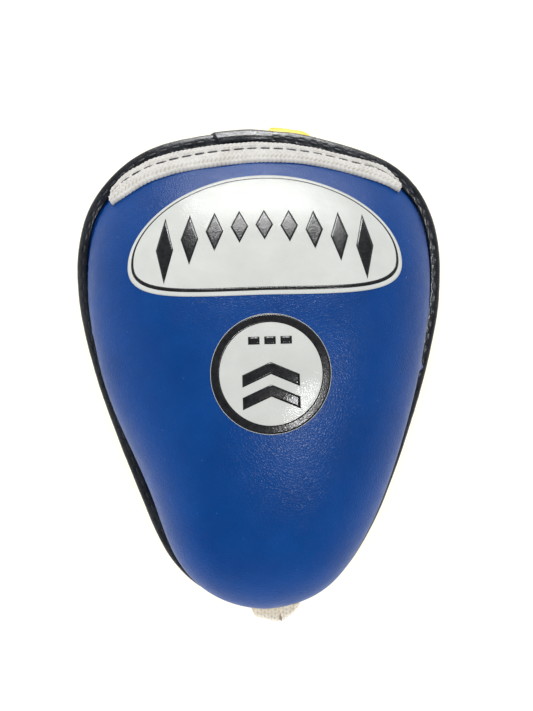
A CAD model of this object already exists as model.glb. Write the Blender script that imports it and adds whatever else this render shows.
"""Visual model of a steel-cup groin guard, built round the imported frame.

Lengths in the shape functions are millimetres, and every mesh is made in metres. The
rim's outline and the dome are the same formulas as in the design: a rim angle t is 0 at
the right and pi / 2 at the waist, and an inset is a distance inward from the rim.
Points are arrays whose last axis is x, y, z.
"""
import bpy
import bmesh
import math
import numpy as np
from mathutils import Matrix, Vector
from mathutils.bvhtree import BVHTree


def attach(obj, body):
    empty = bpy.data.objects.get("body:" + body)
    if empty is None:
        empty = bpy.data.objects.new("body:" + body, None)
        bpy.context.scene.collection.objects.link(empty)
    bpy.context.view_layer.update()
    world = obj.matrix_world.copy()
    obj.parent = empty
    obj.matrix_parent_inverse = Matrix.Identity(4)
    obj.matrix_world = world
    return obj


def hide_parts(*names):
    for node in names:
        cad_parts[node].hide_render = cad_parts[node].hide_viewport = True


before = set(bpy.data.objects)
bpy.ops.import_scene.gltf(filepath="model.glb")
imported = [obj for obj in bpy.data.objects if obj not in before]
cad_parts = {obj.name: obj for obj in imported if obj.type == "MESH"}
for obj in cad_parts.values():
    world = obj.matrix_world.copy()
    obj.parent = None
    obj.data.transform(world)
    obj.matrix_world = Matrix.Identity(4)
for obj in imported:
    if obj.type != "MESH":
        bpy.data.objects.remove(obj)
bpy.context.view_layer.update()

MM = 0.001
rng = np.random.default_rng(7)

# ---- the design's dimensions ------------------------------------------------------------
RIM_LENGTH = 180.0
HALF_WIDTH = (63.3, 24.4, 12.9, -2.8, 11.4)  # a series in sin t
LAP = 0.9
LOOP_REACH = 8.5
RIM_MIDDLE_Y = (LOOP_REACH - LAP) / 2.0
# The crotch end leans to the left: how far, and its place and spread in sin t.
CROTCH_LEAN = (1.05, -0.81, 0.175)
# Slow waves of the waist edge: the place and spread in x, and the lift.
WAIST_LIFTS = ((-43.0, 16.0, 1.65), (36.0, 17.0, -1.9))
CREVICE_INSET = 4.4
SEAM_Z = 11.5
DOME_Z = 70.0
APEX_DROP = 22.0
APEX_Y = RIM_MIDDLE_Y - APEX_DROP
STEEPNESS = (0.46, 0.356, 0.174)  # a series in sin t
BULGE = (1.8, -0.85, -0.68)  # a series in sin t
SLIMMER = (-3.05, 3.1)  # what the crotch half's bulge gains: a constant, and a share of cos t
SLIM_FROM = 0.6
COVER = 1.4
CLOTH = 1.2
FOAM = 6.8
STEEL = 1.2
HEM = 1.2
RING_TOP = SEAM_Z - HEM
STITCH_PITCH = 4.9
TAPE_WIDTH = 12.2
BAND_FROM, BAND_TO = 53.2, 128.6  # rim angles in degrees
LOOP_X = 3.2
LOOP_TAPE = 9.0
LOOP_GAP = 0.8
OVAL = {"x": 2.6, "y": 46.2, "half": 48.3, "rise": 24.0, "fall": 21.1, "droop": 9.2, "power": 2.17}
DISC = {"x": 3.4, "y": -1.5, "radius": 20.1, "ring": 3.0, "margin": 0.15}

UP = np.array([0.0, 0.0, 1.0])
TURN = 2.0 * np.pi


# ---- camera -----------------------------------------------------------------------------
CAMERA_PLACE = (2.1, 4.5 + RIM_MIDDLE_Y, 453.7)
CAMERA_TURN = -1.6
CAMERA_LENS, CAMERA_SENSOR = 59.1, 36.0


def make_camera():
    """Straight above the dome, about arm's length away, turned a little about its own axis."""
    data = bpy.data.cameras.new("camera")
    data.sensor_fit = "VERTICAL"
    data.sensor_height = CAMERA_SENSOR
    data.lens = CAMERA_LENS
    camera = bpy.data.objects.new("camera", data)
    camera.location = [place * MM for place in CAMERA_PLACE]
    camera.rotation_euler = (0.0, 0.0, math.radians(CAMERA_TURN))
    bpy.context.collection.objects.link(camera)
    bpy.context.scene.camera = camera


make_camera()


# ---- shape functions, in millimetres, on arrays -----------------------------------------
def series(terms, s):
    """A polynomial in s."""
    return sum(c * s ** n for n, c in enumerate(terms))


def rim(t):
    """Points of the rim's outline, at height 0."""
    s = np.sin(t)
    x = np.cos(t) * series(HALF_WIDTH, s)
    uneven = sum(lift * np.exp(-((x - middle) / spread) ** 2) for middle, spread, lift in WAIST_LIFTS)
    y = RIM_LENGTH / 2.0 * s + RIM_MIDDLE_Y + uneven * np.maximum(s, 0.0) ** 3
    far, place, spread = CROTCH_LEAN
    x = x - far * np.exp(-((s - place) / spread) ** 2)
    return np.stack([x, y, 0.0 * t], axis=-1)


def outward(t):
    """Flat unit vectors square to the rim."""
    along = rim(t + 1e-4) - rim(t - 1e-4)
    square = np.stack([along[..., 1], -along[..., 0], 0.0 * t], axis=-1)
    return square / np.linalg.norm(square, axis=-1, keepdims=True)


def inside_rim(t, inset, z=0.0):
    """Points at an inset from the rim and a height z; inset is a number or one for each t."""
    point = rim(t) - outward(t) * np.asarray(inset)[..., None]
    point[..., 2] += z
    return point


def skin(t, climb, depth=0.0):
    """Points of the dome at rim angles t, for climb 0 at the seam to pi / 2 at the apex."""
    apex = np.array([0.0, APEX_Y, 0.0])
    way = inside_rim(t, CREVICE_INSET + 0.0 * t) - apex
    reach = np.linalg.norm(way, axis=-1)
    way = way / reach[..., None]
    s = np.sin(t)
    power = 2.0 * series(STEEPNESS, s)
    swell = series(BULGE, s)
    lower = smooth_step(-s / SLIM_FROM) * np.sqrt(np.maximum(1.0 + s, 0.0))
    swell = swell + (SLIMMER[0] + SLIMMER[1] * np.cos(t)) * lower

    def profile(a):
        share = np.sin(a) ** power
        return reach * np.cos(a) + swell * np.sin(np.pi * share), SEAM_Z + share * (DOME_Z - SEAM_Z)

    step = 1e-3
    near = np.clip(climb, 2.0 * step, math.pi / 2.0 - 2.0 * step)
    r0, z0 = profile(near - step)
    r1, z1 = profile(near + step)
    length = np.hypot(r1 - r0, z1 - z0)
    across, up = (z1 - z0) / length, (r0 - r1) / length
    slant = np.sum(way * outward(t), axis=-1)
    square = depth * np.hypot(across / slant, up)
    r, z = profile(climb)
    point = apex + way * (r - across * square)[..., None]
    point[..., 2] += z - up * square
    return point


def wobble(points, size, seed):
    """Smooth irregularity from -1 to 1 over points, with features of about a size."""
    draw = np.random.default_rng(seed)
    total = 0.0
    waves = 7
    for _ in range(waves):
        way = draw.normal(size=3)
        way /= np.linalg.norm(way)
        way *= TURN / size * draw.uniform(0.6, 1.5)
        total = total + np.sin(points @ way + draw.uniform(0.0, TURN))
    return total / math.sqrt(waves) / 1.6


def smooth_step(x):
    """0 below 0, 1 above 1, and a smooth rise between."""
    x = np.clip(x, 0.0, 1.0)
    return x * x * (3.0 - 2.0 * x)


def run_along(path):
    """The length of a path up to each of its points."""
    return np.concatenate([[0.0], np.cumsum(np.linalg.norm(np.diff(path, axis=0), axis=1))])


def even_angles(count):
    """Rim angles evenly spaced along the rim, the arc length to each, and the rim's length."""
    t = np.linspace(0.0, TURN, 4001)
    run = run_along(rim(t))
    at = np.arange(count) * run[-1] / count
    return np.interp(at, run, t), at, run[-1]


APEX_FIT_FROM, APEX_FIT_TO = 8.0, 24.0
APEX_BLEND_FROM, APEX_BLEND_OVER = 26.0, 20.0


def round_apex(points):
    """Blends the top of a dome into the smooth paraboloid that fits it best."""
    flat = points.reshape(-1, 3)
    x, y = flat[:, 0], flat[:, 1] - APEX_Y
    r = np.hypot(x, y)
    terms = np.stack([np.ones_like(x), x, y, x * x, x * y, y * y], axis=1)
    fitted = (r > APEX_FIT_FROM) & (r < APEX_FIT_TO)
    c = np.linalg.lstsq(terms[fitted], flat[fitted, 2], rcond=None)[0]
    share = smooth_step((APEX_BLEND_FROM - r) / APEX_BLEND_OVER)
    flat[:, 2] += share * (terms @ c - flat[:, 2])
    return flat.reshape(points.shape)


# ---- mesh helpers -----------------------------------------------------------------------
def mesh_object(name, verts, faces, smooth=True):
    """A new object, from points in millimetres."""
    mesh = bpy.data.meshes.new(name)
    mesh.from_pydata([tuple(v) for v in np.asarray(verts) * MM], [], [tuple(f) for f in faces])
    mesh.validate()
    mesh.update()
    if smooth:
        mesh.polygons.foreach_set("use_smooth", [True] * len(mesh.polygons))
    obj = bpy.data.objects.new(name, mesh)
    bpy.context.collection.objects.link(obj)
    return obj


def grid_faces(rows, columns, wrap_rows=False, wrap_columns=False, base=0):
    """Quads of a grid whose point (i, j) is number base + i * columns + j."""
    faces = []
    for i in range(rows if wrap_rows else rows - 1):
        for j in range(columns if wrap_columns else columns - 1):
            i2, j2 = (i + 1) % rows, (j + 1) % columns
            faces.append((base + i * columns + j, base + i2 * columns + j,
                          base + i2 * columns + j2, base + i * columns + j2))
    return faces


def capped_tube(rows, columns, base=0):
    """Faces of closed sections in a row, with a cap at both ends."""
    faces = grid_faces(rows, columns, wrap_columns=True, base=base)
    faces.append(tuple(base + j for j in range(columns)))
    faces.append(tuple(base + (rows - 1) * columns + j for j in reversed(range(columns))))
    return faces


def tube(name, sections, closed):
    """Closed sections in a row: joined end to end when closed, else capped at both ends."""
    rows, columns = sections.shape[:2]
    if closed:
        faces = grid_faces(rows, columns, wrap_rows=True, wrap_columns=True)
    else:
        faces = capped_tube(rows, columns)
    return outward_normals(mesh_object(name, sections.reshape(-1, 3), faces))


def outward_normals(obj):
    """Turns every face to the outside."""
    work = bmesh.new()
    work.from_mesh(obj.data)
    bmesh.ops.recalc_face_normals(work, faces=work.faces)
    work.to_mesh(obj.data)
    work.free()
    obj.data.update()
    return obj


def dome_rows(t, depth, count, tuck=0.0, relief=None):
    """Columns up the dome at rim angles t: count points each, from the foot to near the apex.

    tuck draws the foot in towards the seam; relief moves the points before they are spaced.
    """
    climb = math.pi / 2.0 * np.linspace(0.0, 1.0, 300) ** 1.4
    dense = round_apex(skin(t[:, None], climb[None, :], depth))
    out = outward(t)[:, None, :]
    if tuck:
        dense = dense - out * (tuck * np.exp(-(dense[..., 2] - SEAM_Z) / 2.0))[..., None]
    if relief is not None:
        dense = relief(t, out, dense)
    rows = np.empty((len(t), count, 3))
    share = (np.arange(count) / count) ** 1.25
    for i, column in enumerate(dense):
        run = run_along(column)
        for k in range(3):
            rows[i, :, k] = np.interp(share * run[-1], run, column[:, k])
    return rows, dense[:, -1].mean(axis=0)


def dome_shell(name, outer, outer_tip, inner, inner_tip):
    """A closed shell between two sets of columns, joined along their feet."""
    n, a = outer.shape[:2]
    b = inner.shape[1]
    verts = np.concatenate([outer.reshape(-1, 3), inner.reshape(-1, 3), [outer_tip], [inner_tip]])
    base = n * a
    tip_out, tip_in = len(verts) - 2, len(verts) - 1
    faces = grid_faces(n, a, wrap_rows=True)
    faces += [tuple(reversed(f)) for f in grid_faces(n, b, wrap_rows=True, base=base)]
    for i in range(n):
        i2 = (i + 1) % n
        faces.append((i * a + a - 1, i2 * a + a - 1, tip_out))
        faces.append((base + i2 * b + b - 1, base + i * b + b - 1, tip_in))
        faces.append((i * a, base + i * b, base + i2 * b, i2 * a))
    return outward_normals(mesh_object(name, verts, faces))


# ---- face, foam and cup -----------------------------------------------------------------
TUCK = 1.6
PUCKER, PUCKER_CHANGE, PUCKER_RISE = 0.20, 0.10, 3.0
# Gathers along the foot: (rim angle in degrees, how far each stands out).
GATHERS = ((-1.5, 1.9), (-24.5, 1.8), (-31.0, 0.9), (-50.0, 1.2), (-129.0, 0.5), (-143.0, 0.4),
           (12.0, 0.4), (171.0, 0.5))
GATHER_Z, GATHER_RISE = 6.0, 4.5
FOOT_RISE = 9.0
FOOT_UNEVEN, TOP_UNEVEN = 0.35, 0.22
FACE_COLUMNS, FACE_ROWS = 420, 120
HEM_INSETS = (1.6, 2.8, 4.2)


def face_relief(t, out, points):
    """Puckers that the seam's stitches pull into the foot, gathers, and slight unevenness."""
    even, run, length = even_angles(1440)
    arc = np.interp(t, even, run)
    height = points[..., 2] - SEAM_Z
    stitches = round(length / STITCH_PITCH)
    pull = PUCKER + PUCKER_CHANGE * wobble(points[:, 0, :], 40.0, 3)
    wave = np.cos(TURN * stitches * arc / length)
    swell = (pull * wave)[:, None] * np.exp(-height / PUCKER_RISE)
    for degrees, size in GATHERS:
        away = np.degrees(np.angle(np.exp(1j * (t - math.radians(degrees)))))
        rise = np.exp(-((height - GATHER_Z) / GATHER_RISE) ** 2)
        swell = swell + size * np.exp(-away ** 2)[:, None] * rise
    foot = np.exp(-height / FOOT_RISE)
    swell = swell + FOOT_UNEVEN * foot * wobble(points, 26.0, 5)
    lift = TOP_UNEVEN * (1.0 - foot) * wobble(points, 55.0, 11)
    points = points + out * swell[..., None]
    points[..., 2] += lift
    return points


def hem(t, z):
    """The face's flat hem at a height, as the first points of each column."""
    return np.stack([inside_rim(t, inset + 0.0 * t, z) for inset in HEM_INSETS], axis=1)


def make_face():
    """The blue leathercloth: its dome, and the flat hem inside the binding."""
    t = even_angles(FACE_COLUMNS)[0]
    outer, outer_tip = dome_rows(t, 0.0, FACE_ROWS, TUCK, face_relief)
    inner, inner_tip = dome_rows(t, CLOTH, FACE_ROWS // 3, TUCK + 0.1)
    outer = np.concatenate([hem(t, SEAM_Z - 0.1), outer], axis=1)
    inner = np.concatenate([hem(t, RING_TOP + 0.05), inner], axis=1)
    return dome_shell("face_leathercloth", outer, outer_tip, inner, inner_tip)


def make_layer(name, outer_depth, inner_depth, columns, rows, tuck=0.0):
    """A layer under the face: the impact foam, or the pressed steel cup."""
    t = even_angles(columns)[0]
    return dome_shell(name, *dome_rows(t, outer_depth, rows, tuck), *dome_rows(t, inner_depth, rows))


# ---- edge binding -----------------------------------------------------------------------
# The strip's section as (inset, height): its outer side, then its inner side back again.
STRIP_OUT = ((4.3, 8.3), (3.2, 8.0), (1.4, 8.0), (0.55, 8.25), (0.12, 8.9), (0.0, 9.8), (0.12, 10.6),
             (0.5, 11.2), (1.2, 11.75), (2.0, 12.3), (2.8, 12.75), (3.5, 12.75), (4.15, 12.3), (4.3, 11.7))
STRIP_IN = ((4.15, 11.58), (3.0, 11.52), (1.8, 11.5), (1.3, 11.0), (1.2, 10.3), (1.22, 9.25),
            (1.5, 9.1), (3.0, 9.08), (4.15, 9.0))
STRIP_STATIONS = 1300
STITCH_INSET = 2.7
STITCH_DIP, STITCH_DIP_WIDTH = 0.42, 0.8
STRIP_UNEVEN, STRIP_CRINKLE = 0.12, 0.05
WAIST_WIDER = 0.16
WAIST_Y = 60.0  # the waist edge lies beyond it
LAP_FROM, LAP_TO = -15.3, 7.0
LAP_STATIONS = 110
LAP_SLANT = 2.4
LAP_RIDGE = 0.22


def resample(path, count):
    """A path of flat points, respaced evenly along its length."""
    path = np.asarray(path, dtype=float)
    run = run_along(path)
    at = np.linspace(0.0, run[-1], count)
    return np.stack([np.interp(at, run, path[:, k]) for k in range(path.shape[1])], axis=1)


def smooth_path(path, count):
    """A path of flat points, rounded off over about its spacing, and respaced."""
    finer = 12 * count
    fine = resample(path, finer)
    kernel = np.hanning(2 * (finer // len(path)) // 2 * 2 + 1)
    kernel /= kernel.sum()
    half = len(kernel) // 2
    ends = np.pad(fine, ((half, half), (0, 0)), mode="edge")
    soft = np.stack([np.convolve(ends[:, k], kernel, "valid") for k in range(2)], axis=1)
    soft[0], soft[-1] = fine[0], fine[-1]
    return resample(soft, count)


def strip_dip(arc, length, inset, top):
    """How far the binding's top is drawn down along its stitches, in waves between them."""
    stitches = round(length / STITCH_PITCH)
    wave = 0.65 + 0.35 * np.cos(TURN * stitches * arc / length)
    near = np.exp(-((inset - STITCH_INSET) / STITCH_DIP_WIDTH) ** 2)
    return STITCH_DIP * wave[:, None] * near[None, :] * top[None, :]


def make_binding():
    """A strip of glossy leathercloth folded over both hems, crinkled by its stitches."""
    t, arc, length = even_angles(STRIP_STATIONS)
    outer = smooth_path(STRIP_OUT, 34)
    inner = resample(STRIP_IN, 12)
    path = np.concatenate([outer, inner])
    shown = np.concatenate([np.ones(len(outer)), np.zeros(len(inner))])
    top = shown * smooth_step((path[:, 1] - 10.8) / 1.4)
    foot = rim(t)
    waist = smooth_step((foot[:, 1] - WAIST_Y) / 15.0)
    reach = 1.0 + 0.06 * wobble(foot, 30.0, 21) + WAIST_WIDER * waist
    inset = np.where(path[:, 1] > 11.0, path[:, 0] * reach[:, None], path[:, 0])
    z = path[:, 1] - strip_dip(arc, length, path[:, 0], top)
    out = outward(t)[:, None, :]
    points = foot[:, None, :] - out * inset[..., None]
    points[..., 2] += z
    crinkle = wobble(np.stack([arc, 0.0 * arc, 0.0 * arc], 1), 3.4, 22)[:, None]
    crinkle = STRIP_CRINKLE * (crinkle + wobble(points, 6.0, 23))
    crinkle = crinkle * (0.4 + 0.6 * wobble(points, 45.0, 24))
    swell = shown * (crinkle + STRIP_UNEVEN * wobble(points, 18.0, 25))
    rise = smooth_step((path[:, 1] - 9.5) / 2.5)
    points = points + out * (swell * (1.0 - 0.7 * rise))[..., None]
    points[..., 2] += swell * rise
    return tube("binding_strip", points, closed=True)


def waist_angle(x):
    """Rim angle at which the waist edge passes over x."""
    t = np.linspace(0.25 * np.pi, 0.75 * np.pi, 2000)
    return np.interp(-np.asarray(x), -rim(t)[:, 0], t)


def make_lap():
    """The strip's end, lapped over its start at the waist and cut off at a slant."""
    outer = smooth_path(STRIP_OUT, 40)
    outer = outer[np.argmax(outer[:, 1] > 8.8):][::-1]
    run = np.linspace(0.0, 1.0, len(outer))
    along = np.gradient(outer, axis=0)
    square = np.stack([along[:, 1], -along[:, 0]], axis=1)
    square /= np.linalg.norm(square, axis=1, keepdims=True)
    share = np.linspace(0.0, 1.0, LAP_STATIONS)
    sections = []
    for f in share:
        slant = LAP_SLANT * (run - 0.35) * (1.0 - f) ** 2
        x = LAP_FROM + (LAP_TO - LAP_FROM) * f - slant
        t = waist_angle(x)
        thick = LAP * (1.0 - 0.93 * smooth_step((f - 0.55) / 0.45))
        thick = thick * (0.55 + 0.45 * smooth_step(f / 0.04))
        over = outer + square * (thick * (0.35 + 0.65 * np.sin(np.pi * (0.12 + 0.80 * run))))[:, None]
        under = outer - square * 0.25
        line = np.concatenate([over, under[::-1]])
        sections.append(inside_rim(np.concatenate([t, t[::-1]]), line[:, 0], line[:, 1]))
    sections = np.array(sections)
    sections[..., 2] += 0.10 * wobble(sections, 9.0, 31)
    half = len(outer)
    ridge = LAP_RIDGE * np.exp(-((run - 0.30) / 0.05) ** 2)
    sections[:, :half, 2] += ridge[None, :] * (1.0 - share[:, None] ** 2)
    return tube("binding_lap", sections, closed=False)


BEAD_RINGS, BEAD_SIDES = 7, 8


def bead(centre, along, up, half, width, height):
    """Points of a small lens-shaped bar, lying along one way with its back to another."""
    across = np.cross(up, along)
    points = []
    for k in range(BEAD_RINGS):
        a = -1.0 + 2.0 * (k + 0.5) / BEAD_RINGS
        fat = (1.0 - a * a) ** 0.45
        for j in range(BEAD_SIDES):
            turn = TURN * j / BEAD_SIDES
            points.append(centre + along * (a * half) + across * (math.cos(turn) * width * fat)
                          + up * (math.sin(turn) * height * fat))
    return points


def beads(name, places):
    """A row of stitches as one mesh; each place is (centre, along, up, half, width, height)."""
    verts, faces = [], []
    for place in places:
        faces += capped_tube(BEAD_RINGS, BEAD_SIDES, len(verts))
        verts += bead(*place)
    return outward_normals(mesh_object(name, np.array(verts), faces))


BINDING_STITCH = (1.6, 0.34, 0.26)  # half length, half width, half height
BINDING_STITCH_Z, ON_LAP = 12.22, 0.75


def make_binding_stitches():
    """One stitch in each dip of the binding, lifted where it crosses the lap."""
    length = even_angles(8)[2]
    t = even_angles(round(length / STITCH_PITCH))[0]
    spots = rim(t)
    on_lap = (spots[:, 1] > WAIST_Y) & (LAP_FROM < spots[:, 0]) & (spots[:, 0] < LAP_TO)
    centres = inside_rim(t, STITCH_INSET + 0.0 * t, BINDING_STITCH_Z + ON_LAP * on_lap)
    alongs = np.cross(UP, outward(t))
    places = [(centre, along, UP, *BINDING_STITCH) for centre, along in zip(centres, alongs)]
    return beads("binding_thread", places)


# ---- rear ring --------------------------------------------------------------------------
# The cover's section as (inset, height), from its hem outward, down and round to the hem's top.
RING_PATH = ((1.3, 10.25), (1.3, 9.2), (3.9, 9.1), (4.3, 8.5), (3.9, 7.9), (2.7, 7.75), (1.75, 7.1),
             (1.3, 5.9), (1.25, 4.4), (1.6, 2.7), (2.7, 1.1), (4.6, 0.25), (7.0, 0.0), (12.0, 0.0),
             (17.5, 0.0), (19.8, 0.4), (21.3, 1.6), (21.95, 3.4), (22.0, 5.5), (22.0, 8.2), (21.7, 9.8),
             (20.6, 10.28), (12.0, RING_TOP), (4.6, RING_TOP))
RING_STATIONS = 330
RING_AROUND = 50
RING_SIDE_Z, RING_SIDE_SPREAD = 5.2, 3.4
RING_UNEVEN = 0.35
# Where the ring bulges out past the binding at the waist, in x, and how far.
PEEK_FROM, PEEK_TO = 2.7, 27.5
PEEK = 3.15
TABLE_HOLD = 0.65  # how firmly the table holds the ring's underside
CREASE = 0.9  # the furthest that the simulation may move a point
SIM_FRAMES = 18
LEG_TOP = 3.1  # of the crotch loop, under the ring
LEG_REACH = 17.0


def make_ring():
    """The yellow rear cover: a tube of leathercloth round the ring's foam."""
    t = even_angles(RING_STATIONS)[0]
    path = resample(np.array(RING_PATH + RING_PATH[:1]), RING_AROUND + 1)[:-1]
    foot = rim(t)
    out = outward(t)[:, None, :]
    points = foot[:, None, :] - out * path[:, 0][None, :, None]
    points[..., 2] += path[:, 1]
    side = np.exp(-((path[:, 1] - RING_SIDE_Z) / RING_SIDE_SPREAD) ** 2)
    side = side * smooth_step((7.0 - path[:, 0]) / 4.0)
    peek = smooth_step((foot[:, 0] - PEEK_FROM) / 3.5) * smooth_step((PEEK_TO - foot[:, 0]) / 11.0)
    bulge = RING_UNEVEN * wobble(foot, 38.0, 41) + PEEK * peek * (foot[:, 1] > WAIST_Y)
    points = points + out * (bulge[:, None] * side[None, :])[..., None]
    ring = tube("rear_leathercloth", points, closed=True)
    sewn = (path[:, 1] > 10.0) | ((path[:, 1] > 8.4) & (path[:, 0] < 4.5))
    pinned = np.where(sewn, 1.0, np.where(path[:, 1] < 0.3, TABLE_HOLD, 0.0))
    settle(ring, np.tile(pinned, len(t)), points.reshape(-1, 3))
    return ring


COVER_CLOTH = {
    "vertex_group_mass": "sewn", "quality": 5, "mass": 0.4, "tension_stiffness": 25.0,
    "compression_stiffness": 25.0, "shear_stiffness": 8.0, "bending_stiffness": 0.6,
    "shrink_min": -0.045, "use_pressure": True, "uniform_pressure_force": 1.6,
}


def settle(obj, pinned, rest):
    """Cloth simulation of a stuffed cover: a little too large for its foam, so that it creases."""
    group = obj.vertex_groups.new(name="sewn")
    for i, weight in enumerate(pinned):
        if weight:
            group.add([i], float(weight), "REPLACE")
    cloth = obj.modifiers.new("cover", "CLOTH")
    for name, value in COVER_CLOTH.items():
        setattr(cloth.settings, name, value)
    cloth.settings.effector_weights.gravity = 0.0
    cloth.collision_settings.use_collision = False
    scene = bpy.context.scene
    cloth.point_cache.frame_start = 1
    cloth.point_cache.frame_end = SIM_FRAMES
    for number in range(1, SIM_FRAMES + 1):
        scene.frame_set(number)
    shape = obj.evaluated_get(bpy.context.evaluated_depsgraph_get()).to_mesh()
    moved = np.empty(len(shape.vertices) * 3)
    shape.vertices.foreach_get("co", moved)
    obj.modifiers.remove(cloth)
    scene.frame_set(1)
    moved = moved.reshape(-1, 3) / MM
    step = moved - rest
    far = np.linalg.norm(step, axis=1, keepdims=True)
    rest = rest + step * np.minimum(1.0, CREASE / np.maximum(far, 1e-6))
    rest = clear_of_loop(rest)
    obj.data.vertices.foreach_set("co", (rest * MM).reshape(-1))
    obj.data.update()


def clear_of_loop(points):
    """Keeps the cover above the table, and above the crotch loop's legs."""
    fade = 1.2
    crotch_y = rim(np.array([-np.pi / 2.0]))[0, 1]
    near = smooth_step((LOOP_TAPE + LOOP_GAP + fade - np.abs(points[:, 0] - LOOP_X)) / fade)
    near = near * smooth_step((crotch_y + LEG_REACH - points[:, 1]) / 1.5)
    points[:, 2] = np.maximum(points[:, 2], LEG_TOP * near)
    return points


# ---- waist tape -------------------------------------------------------------------------
YARN_PITCH = 1.66
YARN_WIDTH = 1.36
TAPE_SKEW = 3.2
# The tape's outer and inner edge: (share of its length from the right, run up from the crevice).
TAPE_OUTER = ((0.0, 0.6), (0.03, -1.0), (0.065, -1.6), (0.115, -0.4), (0.16, 0.4), (0.23, 0.9),
              (0.29, 1.2), (0.37, 1.5), (0.45, 1.6), (0.64, 1.5), (0.80, 1.4), (0.875, 0.8),
              (0.915, -0.2), (0.955, -0.8), (0.98, 0.2), (1.0, 2.4))
TAPE_INNER = ((0.0, 7.9), (0.065, 10.1), (0.115, 11.0), (0.25, 11.5), (0.33, 12.4), (0.41, 13.6),
              (0.5, 14.1), (0.64, 14.6), (0.72, 14.9), (0.80, 15.0), (0.86, 14.0), (0.915, 13.2),
              (0.955, 12.3), (1.0, 10.0))
# What the tape lies on over the binding: (inset, height).
BINDING_BED = ((0.2, 12.4), (1.2, 12.75), (2.4, 12.9), (3.6, 13.0))
BED_TOP = 13.4
TAPE_COLUMNS, TAPE_ROWS = 660, 58
TAPE_EDGE, TAPE_PUFF = 0.50, 1.10
# The groove that the stitches draw, and a shallow one beside the inner edge: the place as a
# share of the width, the width and the depth.
TAPE_GROOVE, GROOVE_WIDTH, GROOVE_DEPTH = 0.42, 0.85, 0.36
TAPE_RIB, RIB_WIDTH, RIB_DEPTH = 0.84, 0.5, 0.16
TAPE_UNEVEN = 0.16
TAPE_STITCHES = 23
TAPE_STITCH = (2.05, 0.40, 0.30)  # half length, half width, half height
TAPE_STITCH_LIFT = 1.42
BED_BEYOND = 9.0  # degrees past the tape's ends
BED_RUN = (-4.2, 20.0)


class TapeBed:
    """What the tape lies on: the binding and the dome's foot, smoothed where they meet.

    A place is given by its arc along the waist edge and its run up from the crevice.
    """

    def __init__(self):
        first, last = BAND_FROM - BED_BEYOND, BAND_TO + BED_BEYOND
        self.t = np.linspace(math.radians(first), math.radians(last), 220)
        climb = math.pi / 3.0 * np.linspace(0.0, 1.0, 260) ** 1.3
        dome = skin(self.t[:, None], climb[None, :])
        steps = np.linalg.norm(np.diff(dome, axis=1), axis=-1)
        run = np.concatenate([np.zeros((len(self.t), 1)), np.cumsum(steps, axis=1)], axis=1)
        self.run = np.linspace(*BED_RUN, 243)
        self.bed = np.empty((len(self.t), len(self.run), 3))
        for i, angle in enumerate(self.t):
            t = np.array([angle])
            over = [inside_rim(t, inset, z)[0] for inset, z in BINDING_BED]
            high = dome[i, :, 2] > BED_TOP
            points = np.concatenate([over, dome[i][high]])
            runs = np.concatenate([[inset - CREVICE_INSET for inset, _ in BINDING_BED], run[i][high]])
            for k in range(3):
                self.bed[i, :, k] = np.interp(self.run, runs, points[:, k])
        self.bed = np.apply_along_axis(softened, 1, self.bed, 13)
        self.lift = np.cross(np.gradient(self.bed, axis=1), np.gradient(self.bed, axis=0))
        self.lift /= np.linalg.norm(self.lift, axis=-1, keepdims=True)
        self.lift *= np.sign(self.lift[..., 2:3])
        middle = self.bed[:, np.searchsorted(self.run, 6.0)]
        self.arc = run_along(middle)

    def at(self, arc, run):
        """Points and lifts at places given by arc and run, one for one."""
        i = np.clip(np.interp(arc, self.arc, np.arange(len(self.t))), 0.0, len(self.t) - 1.001)
        k = np.clip(np.interp(run, self.run, np.arange(len(self.run))), 0.0, len(self.run) - 1.001)
        i0, k0 = i.astype(int), k.astype(int)
        along, up = (i - i0)[:, None], (k - k0)[:, None]

        def blended(grid):
            low = grid[i0, k0] * (1.0 - up) + grid[i0, k0 + 1] * up
            high = grid[i0 + 1, k0] * (1.0 - up) + grid[i0 + 1, k0 + 1] * up
            return low * (1.0 - along) + high * along

        normal = blended(self.lift)
        return blended(self.bed), normal / np.linalg.norm(normal, axis=1, keepdims=True)

    def arc_at(self, degrees):
        return float(np.interp(math.radians(degrees), self.t, self.arc))


def yarns(along, across):
    """Relief from 0 to 1 of a flat braid: columns of slanted yarns that meet in a herringbone."""
    column = across / YARN_WIDTH
    number = np.floor(column)
    inside = column - number
    lean = np.where(number % 2.0 == 0.0, 1.0, -1.0)
    phase = along / YARN_PITCH + 0.55 * lean * (inside - 0.5)
    bump = np.sqrt(np.abs(np.sin(np.pi * phase)))
    valley = np.sqrt(np.clip(np.sin(np.pi * inside), 0.0, 1.0))
    return (0.25 + 0.75 * bump) * (0.35 + 0.65 * valley)


def tape_run(f, share):
    """Run up from the crevice at a share of the tape's length and of its width."""
    outer = np.interp(f, *np.array(TAPE_OUTER).T)
    inner = np.interp(f, *np.array(TAPE_INNER).T)
    return outer + (inner - outer) * share


def softened(values, size):
    """Values smoothed over a window."""
    kernel = np.hanning(size)
    kernel /= kernel.sum()
    return np.convolve(np.pad(values, size // 2, mode="edge"), kernel, "valid")


def tape_line(bed, f, share):
    """Where the tape lies at shares f of its length and at one share of its width."""
    start, end = bed.arc_at(BAND_FROM), bed.arc_at(BAND_TO)
    skew = TAPE_SKEW * (share - 0.35)
    ends = 0.25 * math.cos(9.0 * share) + 0.25 * math.cos(31.0 * share)
    arc = (start - skew - ends) + (end - start + 2.0 * skew + 2.0 * ends) * f
    scallop = np.abs(np.sin(np.pi * arc / YARN_PITCH)) * (0.55 * share - 0.25)
    fine = np.linspace(0.0, 1.0, TAPE_COLUMNS)
    run = np.interp(f, fine, softened(tape_run(fine, share), 31)) + scallop
    point = bed.at(arc, run)[0]
    point, normal = bed.at(arc, run + 0.22 * wobble(point, 21.0, 51))
    return arc, point, normal


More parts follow.
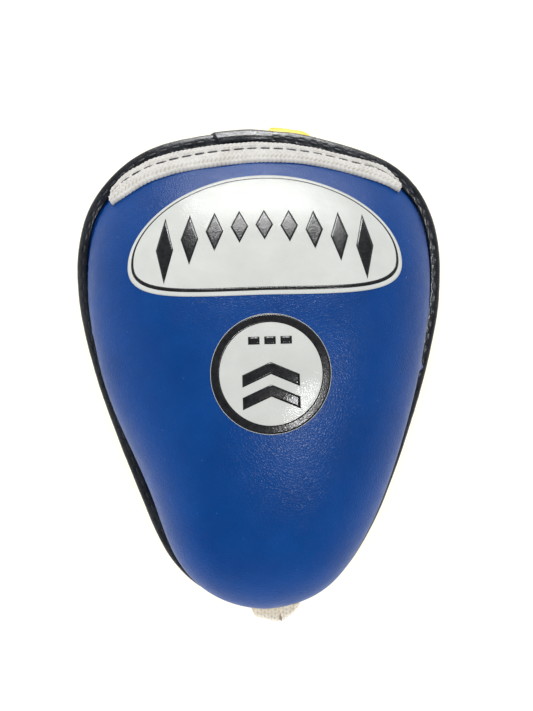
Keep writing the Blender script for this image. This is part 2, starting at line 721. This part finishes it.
def make_tape(bed):
    """The waist band: a puffy flat braid, drawn in along its row of stitches."""
    f = np.linspace(0.0, 1.0, TAPE_COLUMNS)
    tops, lows, valleys = [], [], []
    for k, share in enumerate(np.linspace(0.0, 1.0, TAPE_ROWS)):
        arc, point, normal = tape_line(bed, f, share)
        beat = smooth_step((np.cos(TURN * (f * TAPE_STITCHES - 0.5)) + 0.80) / 0.9)
        side = abs(2.0 * share - 1.0)
        puff = TAPE_EDGE + TAPE_PUFF * (1.0 - side ** 3.4) ** 0.55
        near = np.exp(-((share - TAPE_GROOVE) * TAPE_WIDTH / GROOVE_WIDTH) ** 2)
        rib = RIB_DEPTH * np.exp(-((share - TAPE_RIB) * TAPE_WIDTH / RIB_WIDTH) ** 2)
        relief = yarns(arc, share * TAPE_WIDTH)
        fuzz = 0.5 + 0.5 * wobble(point, 9.0, 54)
        weave = (0.36 + 0.16 * fuzz) * relief + 0.10 * wobble(point, 1.3, 52)
        curl = 0.5 * smooth_step((0.02 - f) / 0.02) + 0.3 * smooth_step((f - 0.985) / 0.015)
        height = puff - near * GROOVE_DEPTH * (1.0 + beat) + weave * (1.0 - 0.6 * near) - rib
        height = height + TAPE_UNEVEN * wobble(point, 15.0, 53) + curl * share
        edge = 0.0 if 0 < k < TAPE_ROWS - 1 else 0.35
        tops.append(point + normal * (height - edge)[:, None])
        lows.append(point + normal * 0.05)
        valley = (1.0 - relief) * (0.45 + 0.55 * fuzz) + rib * 2.5
        valleys.append(valley * (1.0 - 0.5 * near) + 0.30 * near)
    top, low = np.stack(tops, axis=1), np.stack(lows, axis=1)
    tape = slab_mesh("waist_tape", top, low)
    shade = np.stack(valleys, axis=1).reshape(-1)
    return with_valleys(tape, np.concatenate([shade, 0.5 + 0.0 * shade]))


def with_valleys(obj, depth):
    """Stores how deep each point lies between the yarns, which the tape's material reads."""
    layer = obj.data.attributes.new("valley", "FLOAT", "POINT")
    layer.data.foreach_set("value", depth)
    return obj


def slab_mesh(name, top, low, wrap=False):
    """A closed slab between two grids of the same size; wrap joins its rows into a ring."""
    rows, columns = top.shape[:2]
    base = rows * columns
    verts = np.concatenate([top.reshape(-1, 3), low.reshape(-1, 3)])
    faces = grid_faces(rows, columns, wrap_rows=wrap)
    faces += [tuple(reversed(f)) for f in grid_faces(rows, columns, wrap_rows=wrap, base=base)]
    for i in range(rows if wrap else rows - 1):
        i2 = (i + 1) % rows
        for j in (0, columns - 1):
            a, b = i * columns + j, i2 * columns + j
            faces.append((a, b, base + b, base + a))
    if not wrap:
        for j in range(columns - 1):
            for i in (0, rows - 1):
                a, b = i * columns + j, i * columns + j + 1
                faces.append((a, b, base + b, base + a))
    return outward_normals(mesh_object(name, verts, faces))


def make_tape_stitches(bed):
    """The band's row of long stitches, lying in its groove a little unevenly."""
    share = (np.arange(TAPE_STITCHES) + 0.5) / TAPE_STITCHES
    point, normal = tape_line(bed, share, TAPE_GROOVE)[1:]
    tip = 0.1 / TAPE_STITCHES
    before, after = (tape_line(bed, share + way, TAPE_GROOVE)[1] for way in (-tip, tip))
    half, width, height = TAPE_STITCH
    places = []
    for p, n, a in zip(point, normal, after - before):
        a = a / np.linalg.norm(a)
        across = np.cross(n, a)
        lean = a + across * rng.normal(0.0, 0.03)
        lean /= np.linalg.norm(lean)
        lift = TAPE_STITCH_LIFT + rng.normal(0.0, 0.03)
        long = half + rng.normal(0.0, 0.10)
        aside = rng.normal(0.0, 0.06)
        places.append((p + n * lift + across * aside, lean, n, long, width, height))
    return beads("waist_tape_thread", places)


# ---- crotch loop ------------------------------------------------------------------------
# The fold's outline, as (x, y).
LOOP_TIP = ((-7.0, -88.6), (-6.0, -90.8), (-5.1, -92.4), (-1.0, -93.6), (3.1, -94.7), (4.3, -94.6),
            (4.9, -94.4), (6.5, -93.6), (8.5, -92.4), (10.6, -90.6), (12.0, -89.0), (12.8, -87.4))
# Each lobe: left, right, lowest, highest, and how far it parts from the other at the slit.
LOBES = ((-5.4, 4.9, 0.15, 3.5, -0.85), (4.35, 12.4, 0.1, 3.7, 0.85), (-7.2, -5.0, 0.1, 2.1, 0.0))
SLIT_TOP, SLIT_END = -90.4, -93.4
LOOP_BACK = -71.6
LOBE_COLUMNS, LOBE_ROWS, LOBE_BEND = 64, 60, 13
LEG_DROP, LEG_DROP_Y = 0.9, -86.5


def make_loop():
    """A folded loop of braid: two lobes side by side with a slit at the tip."""
    tip = np.array(LOOP_TIP)
    verts, faces, valleys = [], [], []
    for left, right, low, high, parting in LOBES:
        across = np.linspace(0.0, 1.0, LOBE_COLUMNS)
        x = left + (right - left) * across
        edge = np.interp(x, tip[:, 0], tip[:, 1])
        side = np.abs(2.0 * across - 1.0)
        fat = 0.45 + 0.55 * np.clip(1.0 - side ** 7.0, 0.0, 1.0) ** 0.5
        slope = np.linspace(0.0, 1.0, LOBE_ROWS)
        turn = np.linspace(0.0, np.pi, LOBE_BEND)[1:-1]
        around = 2 * len(slope) + len(turn)
        middle = (low + high) / 2.0
        half = (high - low) / 2.0
        rows = []
        for i in range(LOBE_COLUMNS):
            tall = half * fat[i]
            y_end = edge[i] + tall
            y_top = LOOP_BACK + (y_end - LOOP_BACK) * slope
            z_top = middle + tall - LEG_DROP * smooth_step((y_top - LEG_DROP_Y) / 2.0)
            y_turn = y_end - np.sin(turn) * tall
            z_turn = middle + np.cos(turn) * tall
            y_low = y_top[::-1]
            z_low = middle - tall + 0.0 * slope
            rows.append(np.stack([x[i] + np.zeros(around), np.concatenate([y_top, y_turn, y_low]),
                                  np.concatenate([z_top, z_turn, z_low])], axis=1))
        rows = np.array(rows)
        spin = np.gradient(rows, axis=1)
        square = np.stack([0.0 * spin[..., 0], spin[..., 2], -spin[..., 1]], axis=-1)
        square /= np.maximum(np.linalg.norm(square, axis=-1, keepdims=True), 1e-9)
        run = np.cumsum(np.linalg.norm(spin, axis=-1), axis=1)
        shown = smooth_step((rows[..., 2] - middle + 0.3 * half) / (0.4 * half))
        relief = yarns(run, rows[..., 0] - left)
        valleys.append(1.0 - relief)
        weave = 0.38 * (relief - 0.6) + 0.10 * wobble(rows, 5.0, 61)
        weave = weave * shown * np.minimum(1.0, 3.5 * (1.0 - side))[:, None]
        rows = rows + square * weave[..., None]
        beside = across if parting < 0.0 else 1.0 - across
        opened = smooth_step((SLIT_TOP - rows[..., 1]) / (SLIT_TOP - SLIT_END))
        upper = smooth_step((rows[..., 2] - middle + 0.7 * half) / half)
        rows[..., 0] += parting * opened * upper * (beside ** 4)[:, None]
        base = len(verts)
        faces += capped_tube(*rows.shape[:2], base)
        verts += list(rows.reshape(-1, 3))
    loop = outward_normals(mesh_object("crotch_loop_tape", np.array(verts), faces))
    return with_valleys(loop, np.concatenate([v.reshape(-1) for v in valleys]))


# ---- labels -----------------------------------------------------------------------------
ALL_ROUND = np.linspace(0.0, TURN, 361)[:-1]


def disc_grid(count):
    """A square grid squeezed into the unit disc, as (angle, radius)."""
    a, b = np.meshgrid(np.linspace(-1.0, 1.0, count), np.linspace(-1.0, 1.0, count), indexing="ij")
    radius = np.maximum(np.abs(a), np.abs(b))
    angle = np.arctan2(b, a)
    return angle, radius


def oval_point(angle, margin):
    """Points of the oval's outline, drawn in by a margin: a drooping superellipse."""
    c, s = np.cos(angle), np.sin(angle)
    tall = np.where(s > 0.0, OVAL["rise"], OVAL["fall"]) - margin
    half = OVAL["half"]
    x = np.sign(c) * np.abs(c) ** (2.0 / OVAL["power"]) * (half - margin)
    y = np.sign(s) * np.abs(s) ** (2.0 / OVAL["power"]) * tall
    y = y + OVAL["y"] + RIM_MIDDLE_Y - OVAL["droop"] * (x / half) ** 2
    return np.stack([x + OVAL["x"], y], axis=-1)


def disc_point(angle, radius):
    """Points of the round label, from above."""
    x = DISC["x"] + radius * np.cos(angle)
    y = DISC["y"] + RIM_MIDDLE_Y + radius * np.sin(angle)
    return np.stack([x, y], axis=-1)


# A label's layers, by the heights of their underside and top over the face.
FILM = (-0.02, 0.16)
PRINT = (0.10, 0.20)


def laid(face, name, plan, heights, wrap=False):
    """Lays a flat grid on the face as a slab, between two heights over it."""
    under, top = (np.empty(plan.shape[:2] + (3,)) for _ in heights)
    for i in range(plan.shape[0]):
        for j in range(plan.shape[1]):
            x, y = plan[i, j]
            above = Vector((x * MM, y * MM, 0.2))
            spot, normal = face.ray_cast(above, Vector((0.0, 0.0, -1.0)))[:2]
            for grid, height in zip((under, top), heights):
                grid[i, j] = np.array(spot) / MM + np.array(normal) * height
    return slab_mesh(name, top, under, wrap)


def patch(corners, rows, columns):
    """A flat grid between four corners, given in order round it."""
    a, b, c, d = (np.array(p) for p in corners)
    u = np.linspace(0.0, 1.0, rows)[:, None, None]
    v = np.linspace(0.0, 1.0, columns)[None, :, None]
    return (a * (1.0 - u) + b * u) * (1.0 - v) + (d * (1.0 - u) + c * u) * v


def printed(face, name, plans):
    """Several flat grids as one print."""
    return joined(name, [laid(face, "mark", plan, PRINT) for plan in plans])


def joined(name, parts):
    """Several objects' meshes as one object."""
    verts, faces = [], []
    for part in parts:
        base = len(verts)
        verts += [tuple(v.co) for v in part.data.vertices]
        faces += [tuple(base + i for i in p.vertices) for p in part.data.polygons]
        bpy.data.objects.remove(part)
    return mesh_object(name, np.array(verts) / MM, faces)


OVAL_LINE_THIN, OVAL_LINE_FAT = 0.42, 1.25
OVAL_MARGIN_TOP, OVAL_MARGIN_LOW = 1.05, 1.5
DIAMONDS = 9
DIAMOND_REACH = 35.0  # from the middle one to the last
DIAMOND_HALF = 3.1
DIAMOND_TALL, DIAMOND_TALLER = 5.7, 6.4
DIAMOND_Y, DIAMOND_DROOP = 4.2, 8.4
BAR_STEP, BAR_Y, BAR_HALF, BAR_TALL = 5.4, 11.0, 1.9, 1.3
CHEVRON_HALF = 9.5
CHEVRON_DROPS = (0.4, 7.8)
CHEVRON_THICK = 4.0


def make_oval(face):
    """The oval film, the line round it and its row of diamonds."""
    angle, radius = disc_grid(90)
    middle = np.array([OVAL["x"], OVAL["y"] + RIM_MIDDLE_Y])
    plan = middle + (oval_point(angle, 0.0) - middle) * radius[..., None]
    oval = laid(face, "oval_film", plan, FILM)

    low_side = smooth_step(0.5 - 0.62 * np.sin(ALL_ROUND))
    margin = OVAL_MARGIN_TOP + (OVAL_MARGIN_LOW - OVAL_MARGIN_TOP) * low_side
    thick = OVAL_LINE_THIN + (OVAL_LINE_FAT - OVAL_LINE_THIN) * low_side
    across = np.linspace(0.0, 1.0, 4)[None, :]
    plan = oval_point(ALL_ROUND[:, None] + 0.0 * across, margin[:, None] + thick[:, None] * across)
    line = laid(face, "oval_line", plan, PRINT, wrap=True)

    plans = []
    for u in np.linspace(-1.0, 1.0, DIAMONDS):
        x, y = middle + (DIAMOND_REACH * u, DIAMOND_Y - DIAMOND_DROOP * u * u)
        tall = DIAMOND_TALL + DIAMOND_TALLER * u * u
        corners = [(x - DIAMOND_HALF, y), (x, y + tall), (x + DIAMOND_HALF, y), (x, y - tall)]
        plans.append(patch(corners, 9, 9))
    return oval, line, printed(face, "oval_marks", plans)


def make_disc(face):
    """The round film, the ring on its edge, and three bars over two chevrons."""
    angle, radius = disc_grid(60)
    disc = laid(face, "size_film", disc_point(angle, DISC["radius"] * radius), FILM)
    edge, inner = DISC["radius"] - DISC["margin"], DISC["radius"] - DISC["ring"]
    plan = disc_point(ALL_ROUND[:, None], np.linspace(edge, inner, 6)[None, :])
    ring = laid(face, "size_ring", plan, PRINT, wrap=True)

    plans = []
    x0, y0 = DISC["x"], DISC["y"] + RIM_MIDDLE_Y
    for i in (-1, 0, 1):
        left, right = x0 + BAR_STEP * i - BAR_HALF, x0 + BAR_STEP * i + BAR_HALF
        low, high = y0 + BAR_Y - BAR_TALL, y0 + BAR_Y + BAR_TALL
        plans.append(patch([(left, low), (right, low), (right, high), (left, high)], 5, 4))
    for drop in CHEVRON_DROPS:
        y = y0 - drop
        low, high = (x0, y + 0.2), (x0, y + 0.2 + CHEVRON_THICK)
        left, right = x0 - CHEVRON_HALF, x0 + CHEVRON_HALF
        rising = patch([(left, y - CHEVRON_THICK), low, high, (left, y)], 10, 6)
        falling = patch([low, (right, y - CHEVRON_THICK), (right, y), high], 10, 6)
        plans.append(np.concatenate([rising, falling[1:]]))
    return disc, ring, printed(face, "size_marks", plans)


# ---- materials --------------------------------------------------------------------------
class Shader:
    """A material under construction; lengths in millimetres, on object coordinates."""

    def __init__(self, name, color, roughness, metallic=0.0, specular=0.5):
        self.material = bpy.data.materials.new(name)
        self.material.use_nodes = True
        self.tree = self.material.node_tree
        self.bsdf = self.tree.nodes["Principled BSDF"]
        self.fill(self.bsdf, {"Base Color": color, "Roughness": roughness, "Metallic": metallic,
                              "Specular IOR Level": specular})
        self.coord = self.add("TexCoord", {}).outputs["Object"]
        self.bumps = None

    def fill(self, node, inputs):
        """Sets a node's inputs: each to a number, a vector, a colour or another node's output."""
        for name, value in inputs.items():
            socket = node.inputs[name]
            if isinstance(value, bpy.types.NodeSocket):
                self.tree.links.new(value, socket)
            else:
                socket.default_value = (*value, 1.0) if socket.type == "RGBA" else value

    def add(self, kind, inputs, **settings):
        node = self.tree.nodes.new("ShaderNode" + kind)
        for name, value in settings.items():
            setattr(node, name, value)
        self.fill(node, inputs)
        return node

    def stretched(self, x, y, z):
        return self.add("Mapping", {"Scale": (x, y, z), "Vector": self.coord}).outputs["Vector"]

    def noise(self, size, detail, rough, vector=None):
        node = self.add("TexNoise", {"Scale": 1.0 / (size * MM), "Detail": detail, "Roughness": rough,
                                     "Vector": vector or self.coord})
        return node.outputs["Fac"]

    def pebbles(self, size):
        """Cells of a leather grain, with a little noise in their places."""
        noise = self.add("TexNoise", {"Scale": 1.0 / (size * 1.6 * MM), "Detail": 2.0,
                                      "Vector": self.coord})
        moved = self.add("VectorMath", {0: noise.outputs["Color"], 1: (size * MM * 1.1,) * 3,
                                        2: self.coord}, operation="MULTIPLY_ADD")
        cells = self.add("TexVoronoi", {"Scale": 1.0 / (size * MM), "Randomness": 1.0,
                                        "Vector": moved.outputs["Vector"]}, feature="DISTANCE_TO_EDGE")
        return cells.outputs["Distance"]

    def ramp(self, value, *stops):
        """A colour ramp; each stop is (place, grey or colour)."""
        node = self.add("ValToRGB", {"Fac": value})
        elements = node.color_ramp.elements
        while len(elements) < len(stops):
            elements.new(0.5)
        for element, (place, shade) in zip(elements, stops):
            element.position = place
            shade = shade if isinstance(shade, tuple) else (shade, shade, shade)
            element.color = (*shade, 1.0)
        return node.outputs["Color"]

    def scaled(self, value, low, high):
        """Maps a value's middle half to low and high."""
        node = self.add("MapRange", {"From Min": 0.25, "From Max": 0.75, "To Min": low, "To Max": high,
                                     "Value": value})
        return node.outputs["Result"]

    def mixed(self, share, a, b):
        return self.add("Mix", {"Factor": share, "A": a, "B": b}, data_type="RGBA").outputs["Result"]

    def color(self, output):
        self.fill(self.bsdf, {"Base Color": output})

    def roughness(self, output):
        self.fill(self.bsdf, {"Roughness": output})

    def mottle(self, noise, *stops):
        """A colour that drifts with a noise, given by its settings."""
        self.color(self.ramp(self.noise(*noise), *stops))

    def gloss(self, noise, low, high):
        """A roughness that drifts with a noise, given by its settings."""
        self.roughness(self.scaled(self.noise(*noise), low, high))

    def bump(self, height, depth):
        """Adds a relief; depth is the height in millimetres of a full step."""
        under = {"Normal": self.bumps} if self.bumps else {}
        node = self.add("Bump", {"Distance": depth * MM, "Strength": 1.0, "Height": height, **under})
        self.bumps = node.outputs["Normal"]
        self.fill(self.bsdf, {"Normal": self.bumps})

    def grain(self, size, edge, depth):
        """A leather grain; edge is the width of its valleys."""
        self.bump(self.ramp(self.pebbles(size), (0.0, 0.0), (edge, 1.0)), depth)


def face_material():
    s = Shader("face_leather", (0.0, 0.043, 0.21), 0.36, specular=0.085)
    blotch = s.noise(22.0, 4.0, 0.6)
    base = s.ramp(blotch, (0.30, (0.0004, 0.040, 0.196)), (0.70, (0.0010, 0.052, 0.243)))
    speck = s.ramp(s.noise(1.1, 1.0, 0.4), (0.79, 0.0), (0.82, 0.6))
    s.color(s.mixed(speck, base, (0.10, 0.20, 0.42)))
    s.gloss((5.0, 4.0, 0.6), 0.31, 0.42)
    grain = s.ramp(s.pebbles(0.95), (0.0, 0.0), (0.22, 0.8), (0.6, 1.0))
    s.bump(s.noise(3.2, 3.0, 0.5), 0.07)
    s.bump(grain, 0.060)
    s.bump(s.noise(0.35, 2.0, 0.6), 0.02)
    return s.material


def binding_material():
    s = Shader("binding_vinyl", (0.012, 0.014, 0.018), 0.26, specular=0.22)
    s.mottle((9.0, 4.0, 0.6), (0.35, (0.009, 0.011, 0.014)), (0.70, (0.022, 0.025, 0.031)))
    s.gloss((2.2, 4.0, 0.6), 0.20, 0.38)
    s.bump(s.noise(2.4, 4.0, 0.6), 0.07)
    s.grain(0.8, 0.25, 0.03)
    return s.material


def rear_material():
    s = Shader("rear_leather", (0.90, 0.66, 0.01), 0.42, specular=0.25)
    s.mottle((12.0, 4.0, 0.6), (0.30, (0.84, 0.60, 0.004)), (0.70, (0.92, 0.70, 0.010)))
    s.gloss((4.0, 3.0, 0.5), 0.36, 0.52)
    s.bump(s.noise(3.0, 3.0, 0.5), 0.08)
    s.grain(0.8, 0.25, 0.04)
    return s.material


def tape_material():
    return braid("tape", (0.575, 0.56, 0.53), (0.69, 0.68, 0.655))


def loop_material():
    return braid("loop_tape", (0.86, 0.775, 0.645), (0.97, 0.91, 0.79))


def braid(name, dark, light):
    s = Shader(name, light, 0.85, specular=0.2)
    fibre = s.noise(0.42, 5.0, 0.7)
    shade = s.ramp(s.noise(3.6, 3.0, 0.6), (0.30, dark), (0.72, light))
    shade = s.mixed(s.ramp(fibre, (0.30, 0.35), (0.62, 0.0)), shade, (0.42, 0.39, 0.34))
    valley = s.add("Attribute", {}, attribute_name="valley")
    s.color(s.mixed(s.ramp(valley.outputs["Fac"], (0.28, 0.0), (0.90, 0.80)), shade, (0.29, 0.26, 0.21)))
    s.roughness(s.scaled(fibre, 0.75, 0.95))
    s.bump(fibre, 0.12)
    s.bump(s.noise(0.15, 2.0, 0.6), 0.03)
    return s.material


def thread_material():
    s = Shader("thread", (0.02, 0.022, 0.03), 0.5, specular=0.4)
    twist = s.noise(0.5, 2.0, 0.5, vector=s.stretched(1.0, 1.6, 1.0))
    s.color(s.ramp(twist, (0.35, (0.012, 0.014, 0.018)), (0.68, (0.045, 0.047, 0.055))))
    s.roughness(s.scaled(twist, 0.42, 0.62))
    s.bump(twist, 0.05)
    return s.material


def film_material():
    s = Shader("label_film", (0.56, 0.57, 0.54), 0.14, specular=0.032)
    s.mottle((14.0, 4.0, 0.6), (0.30, (0.535, 0.55, 0.525)), (0.70, (0.60, 0.615, 0.59)))
    s.gloss((3.0, 4.0, 0.6), 0.12, 0.18)
    s.bump(s.noise(3.2, 3.0, 0.5), 0.05)
    s.grain(1.0, 0.35, 0.018)
    return s.material


def print_material():
    s = Shader("label_print", (0.012, 0.012, 0.013), 0.24, specular=0.15)
    s.mottle((2.0, 4.0, 0.65), (0.30, (0.009, 0.009, 0.010)), (0.75, (0.024, 0.025, 0.027)))
    s.gloss((1.6, 4.0, 0.6), 0.20, 0.30)
    s.bump(s.noise(2.4, 3.0, 0.5), 0.05)
    s.grain(1.0, 0.35, 0.018)
    return s.material


def steel_material():
    s = Shader("cup_steel", (0.62, 0.63, 0.64), 0.32, metallic=1.0)
    lines = s.noise(2.0, 5.0, 0.7, vector=s.stretched(0.08, 2.2, 0.5))
    s.color(s.ramp(lines, (0.30, (0.52, 0.53, 0.54)), (0.70, (0.68, 0.69, 0.70))))
    s.gloss((8.0, 4.0, 0.6), 0.26, 0.42)
    s.bump(lines, 0.02)
    return s.material


def trim_material():
    s = Shader("trim_vinyl", (0.03, 0.03, 0.034), 0.5, specular=0.4)
    s.mottle((5.0, 4.0, 0.6), (0.30, (0.022, 0.022, 0.026)), (0.70, (0.040, 0.040, 0.045)))
    s.gloss((1.5, 3.0, 0.6), 0.42, 0.60)
    s.bump(s.noise(0.8, 3.0, 0.6), 0.03)
    return s.material


def foam_material():
    s = Shader("foam", (0.72, 0.70, 0.64), 0.9, specular=0.2)
    cells = s.pebbles(0.7)
    s.color(s.ramp(cells, (0.0, (0.60, 0.57, 0.50)), (0.30, (0.76, 0.74, 0.68))))
    s.gloss((1.0, 3.0, 0.6), 0.82, 0.96)
    s.bump(s.ramp(cells, (0.0, 0.0), (0.3, 1.0)), 0.12)
    return s.material


MATERIALS = {
    "face_leather": face_material(), "binding_vinyl": binding_material(), "rear_leather": rear_material(),
    "tape": tape_material(), "loop_tape": loop_material(), "thread": thread_material(),
    "label_film": film_material(), "label_print": print_material(), "cup_steel": steel_material(),
    "trim_vinyl": trim_material(), "foam": foam_material(),
}


# ---- assembly ---------------------------------------------------------------------------
def dress(obj, slot, *nodes, look=None):
    """Gives a piece its material and its place in the frame."""
    obj.data.materials.clear()
    obj.data.materials.append(MATERIALS[look or slot])
    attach(obj, "root")
    if nodes:
        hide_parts(*nodes)
    return obj


def surface(mesh):
    """A tree for casting rays at a mesh."""
    corners = [v.co.copy() for v in mesh.vertices]
    return BVHTree.FromPolygons(corners, [tuple(p.vertices) for p in mesh.polygons])


face = make_face()
face_tree = surface(face.data)
dress(face, "face_leather", "face_cover")
foam = make_layer("foam_pad", COVER + 0.3, COVER + FOAM - 0.1, 180, 48, TUCK + 0.3)
dress(foam, "foam", "impact_foam")
cup = make_layer("cup_shell", COVER + FOAM + 0.02, COVER + FOAM + STEEL, 240, 80)
dress(cup, "cup_steel", "steel_cup")
dress(make_ring(), "rear_leather", "rear_cover")
dress(make_binding(), "binding_vinyl", "edge_binding")
dress(make_lap(), "binding_vinyl")
dress(make_binding_stitches(), "thread", "binding_stitches")

bed = TapeBed()
dress(make_tape(bed), "tape", "waist_band")
dress(make_tape_stitches(bed), "thread", "waist_band_stitches")
dress(make_loop(), "tape", "crotch_loop", look="loop_tape")

for obj, node in zip(make_oval(face_tree), ("oval_label", "oval_label_line", "oval_label_marks")):
    dress(obj, "label_film" if node == "oval_label" else "label_print", node)
for obj, node in zip(make_disc(face_tree), ("size_label", "size_label_ring", "size_label_marks")):
    dress(obj, "label_film" if node == "size_label" else "label_print", node)

for node, slot in (("cup_edge_trim", "trim_vinyl"), ("rim_foam", "foam"), ("crotch_loop_stitches", "thread")):
    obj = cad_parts[node]
    obj.data.materials.clear()
    obj.data.materials.append(MATERIALS[slot])


# ---- floor and light --------------------------------------------------------------------
ROOM_HALF, ROOM_TOP = 1300.0, 1300.0
ROOM_LIGHT = 1.04
WALL_LIGHT = (("left", -1, 0, 1.0), ("right", 1, 0, 1.1), ("front", 0, -1, 0.6), ("back", 0, 1, 1.7))
FLOOR_Z = -0.1
FLOOR_GLOW = 0.42
BACKGROUND = 0.92


def make_floor():
    """A pale floor just under the guard, with a faint glow that keeps it white."""
    half, z = ROOM_HALF, FLOOR_Z
    corners = [(-half, -half, z), (half, -half, z), (half, half, z), (-half, half, z)]
    floor = mesh_object("floor", corners, [(0, 1, 2, 3)], smooth=False)
    s = Shader("floor", (0.73, 0.73, 0.73), 0.9, specular=0.1)
    s.mottle((60.0, 3.0, 0.5), (0.30, (0.71, 0.71, 0.715)), (0.70, (0.74, 0.74, 0.745)))
    s.fill(s.bsdf, {"Emission Color": (1.0, 1.0, 1.0), "Emission Strength": FLOOR_GLOW})
    floor.data.materials.append(s.material)


def make_lamp(name, place, aim, width, height, power, glossy=True, diffuse=True):
    """A soft box; glossy and diffuse say which kinds of surface see it."""
    data = bpy.data.lights.new(name, "AREA")
    data.shape = "RECTANGLE"
    data.size = width * MM
    data.size_y = height * MM
    data.energy = power
    lamp = bpy.data.objects.new(name, data)
    lamp.location = Vector(place) * MM
    lamp.rotation_euler = (Vector(aim) - Vector(place)).to_track_quat("-Z", "Y").to_euler()
    lamp.visible_camera = False
    lamp.visible_glossy = glossy
    lamp.visible_diffuse = diffuse
    bpy.context.collection.objects.link(lamp)


def make_world():
    """A white background that only the camera sees."""
    world = bpy.data.worlds.new("room")
    bpy.context.scene.world = world
    world.use_nodes = True
    back = world.node_tree.nodes["Background"]
    back.inputs["Color"].default_value = (1.0, 1.0, 1.0, 1.0)
    back.inputs["Strength"].default_value = BACKGROUND
    world.cycles_visibility.glossy = False
    world.cycles_visibility.diffuse = False


def make_room():
    """A soft white light from all sides, seen by matt surfaces only."""
    wide = 2.0 * ROOM_HALF
    power = ROOM_LIGHT * math.pi * wide * MM
    make_lamp("ceiling", (0.0, 0.0, ROOM_TOP), (0.0, 0.0, 0.0), wide, wide, power * wide * MM, glossy=False)
    middle = ROOM_TOP / 2.0
    for name, x, y, share in WALL_LIGHT:
        place = (x * ROOM_HALF, y * ROOM_HALF, middle)
        energy = share * power * ROOM_TOP * MM
        make_lamp("wall_" + name, place, (0.0, 0.0, middle), wide, ROOM_TOP, energy, glossy=False)


make_floor()
make_world()
make_room()
make_lamp("key", (238.0, 27.0, 583.0), (14.5, -6.7, 68.0), 100.0, 85.0, 6.4, diffuse=False)
make_lamp("waist_box", (15.0, 600.0, 62.0), (0.0, 60.0, 30.0), 280.0, 120.0, 7.4, diffuse=False)
make_lamp("left_box", (-640.0, 60.0, 170.0), (0.0, 0.0, 40.0), 500.0, 180.0, 0.5)
make_lamp("crotch_fill", (0.0, -520.0, 120.0), (0.0, -90.0, 10.0), 400.0, 160.0, 0.8, glossy=False)
bpy.context.scene.view_settings.view_transform = "Standard"
